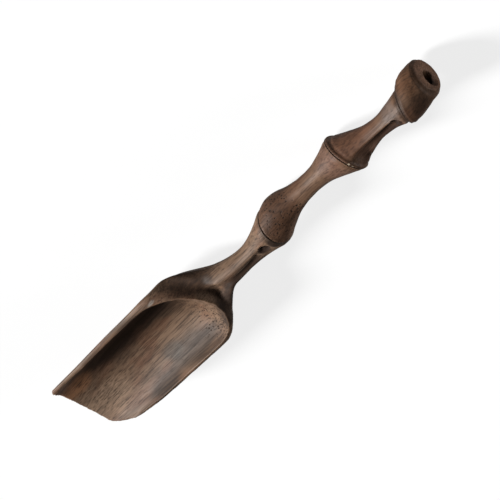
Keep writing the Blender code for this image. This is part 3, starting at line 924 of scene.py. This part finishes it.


# %% [markdown]
# ## Where the wood changes its tone, and where shade and light are painted
# The bowl is dark inside its left wall, partly darker wood and partly painted shade of the
# wall and of its shadow on the floor. It is worn pale at the lip, and redder beside the
# first ring. Many other patches are painted shade, in hollows, pits and grooves and on
# sides turned from the light, and a few pale ones are painted highlight, sheen and light.
# Painting this on the mesh would need a brush and many strokes. A patch is quicker to move
# and try again: each is a middle, a size along X, Y and Z, a colour, and how strongly it
# covers the wood. Two places of cut end grain show open pores as dots.

# %% Stains and dots
BOWL_STAINS_AND_PAINTED_LIGHT = [
    # Painted shade, over darker wood: the left wall's inside and its shadow on the floor.
    ((0.049, -0.0092, 0.0060), (0.042, 0.0122, 0.0130), (0.021, 0.012, 0.009), 0.92),
    ((0.062, 0.0138, 0.0115), (0.014, 0.0050, 0.0060), (0.036, 0.023, 0.016), 0.80),
    ((0.042, 0.0125, 0.0090), (0.016, 0.0055, 0.0070), (0.044, 0.027, 0.017), 0.75),
    # Partly greyer wood, partly a painted sheen on the floor right of the middle.
    ((0.051, 0.0098, 0.0064), (0.006, 0.0035, 0.0040), (0.066, 0.053, 0.042), 0.70),
    ((0.0295, 0.0025, 0.0035), (0.008, 0.0060, 0.0040), (0.076, 0.043, 0.025), 0.60),
    # Painted shade on the right side outside the rim, near the back.
    ((0.0195, 0.0110, 0.0125), (0.008, 0.0045, 0.0040), (0.028, 0.017, 0.012), 0.85),
    ((0.086, 0.0060, 0.0090), (0.016, 0.0110, 0.0070), (0.240, 0.160, 0.108), 0.75),
    ((0.083, -0.0085, 0.0090), (0.012, 0.0060, 0.0060), (0.290, 0.140, 0.070), 0.74),
    # Painted shade on the left shoulder behind the bowl.
    ((0.012, -0.0100, 0.0095), (0.013, 0.0090, 0.0075), (0.034, 0.017, 0.010), 0.80),
    # Painted shade in the dish behind the bowl's back right.
    ((0.010, 0.0068, 0.0116), (0.013, 0.0062, 0.0060), (0.026, 0.016, 0.012), 0.90),
    # Painted shade on the neck's right side.
    ((-0.002, 0.0024, 0.0120), (0.015, 0.0034, 0.0030), (0.032, 0.018, 0.012), 0.88),
    ((-0.007, -0.0038, 0.0120), (0.014, 0.0028, 0.0040), (0.145, 0.088, 0.055), 0.70),
    # Painted shade in the bud pit on the neck.
    ((-0.0156, -0.0003, 0.0128), (0.0034, 0.0024, 0.0016), (0.022, 0.013, 0.010), 0.90),
    # Painted shadow in the groove between the pit and the first ring.
    ((-0.0203, -0.0004, 0.0142), (0.0019, 0.0034, 0.0022), (0.022, 0.013, 0.010), 0.88),
    # Painted shade right of the neck's ridge, where it runs into the dish.
    ((0.0052, 0.0022, 0.0118), (0.0070, 0.0036, 0.0045), (0.028, 0.017, 0.012), 0.88),
    # Painted shade in the middle of the left shoulder.
    ((0.0085, -0.0058, 0.0112), (0.0042, 0.0030, 0.0030), (0.040, 0.022, 0.013), 0.70),
    # A painted highlight on the left rim's inner edge.
    ((0.0245, -0.0152, 0.0128), (0.0028, 0.0008, 0.0010), (0.330, 0.290, 0.250), 0.60),
]
LOWER_STAINS = [
    ((-0.0290, 0.0, 0.0080), (0.011, 0.0120, 0.0120), (0.120, 0.060, 0.036), 0.70),
    ((-0.0285, -0.0050, 0.0090), (0.010, 0.0055, 0.0080), (0.070, 0.034, 0.019), 0.75),
    ((-0.0430, -0.0020, 0.0100), (0.010, 0.0060, 0.0060), (0.150, 0.086, 0.054), 0.60),
    ((-0.0540, -0.0040, 0.0100), (0.006, 0.0070, 0.0060), (0.140, 0.075, 0.054), 0.50),
]
UPPER_STAINS_AND_PAINTED_LIGHT = [
    ((-0.0640, -0.0045, 0.0080), (0.011, 0.0050, 0.0080), (0.115, 0.050, 0.028), 0.65),
    # Painted light: a lighter patch on the shaded side of the channel.
    ((-0.0635, 0.0020, 0.0115), (0.007, 0.0030, 0.0040), (0.120, 0.066, 0.046), 0.60),
    ((-0.0592, -0.0022, 0.0136), (0.0006, 0.0006, 0.0006), (0.620, 0.520, 0.380), 1.00),
    ((-0.0590, -0.0008, 0.0138), (0.0006, 0.0006, 0.0006), (0.620, 0.520, 0.380), 1.00),
    ((-0.0693, 0.0004, 0.0112), (0.0005, 0.0004, 0.0005), (0.420, 0.340, 0.240), 0.80),
    # Painted shade in the channel right of the ridge.
    ((-0.0735, 0.0013, 0.0110), (0.008, 0.0027, 0.0035), (0.030, 0.016, 0.011), 0.85),
    # A painted highlight along the ridge near the knob.
    ((-0.0800, -0.0030, 0.0110), (0.004, 0.0035, 0.0050), (0.105, 0.078, 0.066), 0.60),
    # Painted shade in the bud pit on the upper joint.
    ((-0.0785, 0.0004, 0.0118), (0.0022, 0.0026, 0.0012), (0.022, 0.013, 0.010), 0.85),
]
KNOB_STAINS_AND_PAINTED_LIGHT = [
    # Painted shade inside the hanging hole.
    ((-0.0925, 0.0016, 0.0078), (0.0024, 0.0024, 0.0025), (0.006, 0.003, 0.002), 1.00),
    # Painted light on the end face.
    ((-0.0936, 0.0, 0.0067), (0.0015, 0.0080, 0.0080), (0.185, 0.103, 0.068), 0.85),
    ((-0.0890, -0.0060, 0.0085), (0.005, 0.0040, 0.0060), (0.120, 0.056, 0.028), 0.65),
    # Painted shade along the knob's base, by the joint.
    ((-0.0876, -0.0005, 0.0142), (0.0045, 0.0040, 0.0030), (0.032, 0.017, 0.011), 0.60),
]
BOWL_DOTS = [((0.0260, 0.0100, 0.0080), (0.0120, 0.0090, 0.0080))]
LOWER_DOTS = [((-0.0300, 0.0, 0.0080), (0.0110, 0.0120, 0.0120))]
stain_and_painted_light_lists = (BOWL_STAINS_AND_PAINTED_LIGHT, LOWER_STAINS, UPPER_STAINS_AND_PAINTED_LIGHT, KNOB_STAINS_AND_PAINTED_LIGHT)
print("stains:", [len(stains_and_painted_light) for stains_and_painted_light in stain_and_painted_light_lists])

# %% Oil the four pieces
bowl_wood = oiled_wood(
    "oiled_bowl_wood", dark=(0.050, 0.028, 0.017), middle=(0.105, 0.062, 0.039),
    light=(0.184, 0.115, 0.073), roughness=0.60, lines=1.0, stains_and_painted_light=BOWL_STAINS_AND_PAINTED_LIGHT, dot_places=BOWL_DOTS)
lower_wood = oiled_wood(
    "oiled_lower_wood", dark=(0.044, 0.023, 0.014), middle=(0.086, 0.045, 0.027),
    light=(0.142, 0.082, 0.048), roughness=0.58, lines=0.6, stains_and_painted_light=LOWER_STAINS, dot_places=LOWER_DOTS)
upper_wood = oiled_wood(
    "oiled_upper_wood", dark=(0.040, 0.021, 0.013), middle=(0.078, 0.041, 0.025),
    light=(0.128, 0.073, 0.044), roughness=0.58, lines=0.5, stains_and_painted_light=UPPER_STAINS_AND_PAINTED_LIGHT, dot_places=[])
knob_wood = oiled_wood(
    "oiled_knob_wood", dark=(0.038, 0.020, 0.012), middle=(0.070, 0.037, 0.021),
    light=(0.115, 0.062, 0.036), roughness=0.62, lines=0.6, stains_and_painted_light=KNOB_STAINS_AND_PAINTED_LIGHT, dot_places=[])
for piece, wood in ((knob, knob_wood), (upper, upper_wood), (lower, lower_wood), (bowl, bowl_wood)):
    piece.data.materials.clear()
    piece.data.materials.append(wood)
    print(piece.name, "is now", wood.name)

# %% [markdown]
# ## The floor
# A wide plain sheet, a hair below the scoop. A bright lamp would turn it white, but that
# would light the scoop too. Here the Light Path node mixes a white glow into what the
# camera sees of the floor, so that it comes out white with a pale shadow, which shows
# that the scoop lies on it. To the scoop it stays an ordinary grey surface.

# %% Floor
FLOOR_SIZE = 4.0
FLOOR_Z = -0.0002
FLOOR_GREY = (0.42, 0.42, 0.42, 1.0)
GLOW = 1.6
GLOW_SHARE = 0.5


def pale_floor():
    put_down_everything()
    bpy.ops.mesh.primitive_plane_add(size=FLOOR_SIZE, location=(0.0, 0.0, FLOOR_Z))
    floor = bpy.context.object
    floor.name = "floor"
    finish = Finish("pale_floor")
    finish.fill(finish.shader.inputs["Base Color"], FLOOR_GREY)
    finish.fill(finish.shader.inputs["Roughness"], 0.9)
    seen = finish.add("ShaderNodeLightPath", output="Is Camera Ray")
    white = finish.add("ShaderNodeEmission", None, {"Strength": GLOW})
    plain = Value(finish, finish.shader.outputs["BSDF"])
    shown = finish.add("ShaderNodeMixShader", None, {0: seen * GLOW_SHARE, 1: plain, 2: white})
    finish.fill(finish.nodes["Material Output"].inputs["Surface"], shown)
    floor.data.materials.append(finish.material)
    return floor


floor = pale_floor()
print("floor at", round(floor.location.z * 1000.0, 2), "mm")

# %% [markdown]
# ## Handing the pieces over
# Nothing on the scoop moves, so each carved piece rides on its one body. It stands for
# its CAD node, which is hidden.

# %% Ride and replace
nodes = ((knob, "end_knob"), (upper, "upper_joint"), (lower, "lower_joint"), (bowl, "scoop_bowl"))
for piece, node in nodes:
    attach(piece, "root")
    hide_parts(node)
    print(piece.name, "stands for", node)
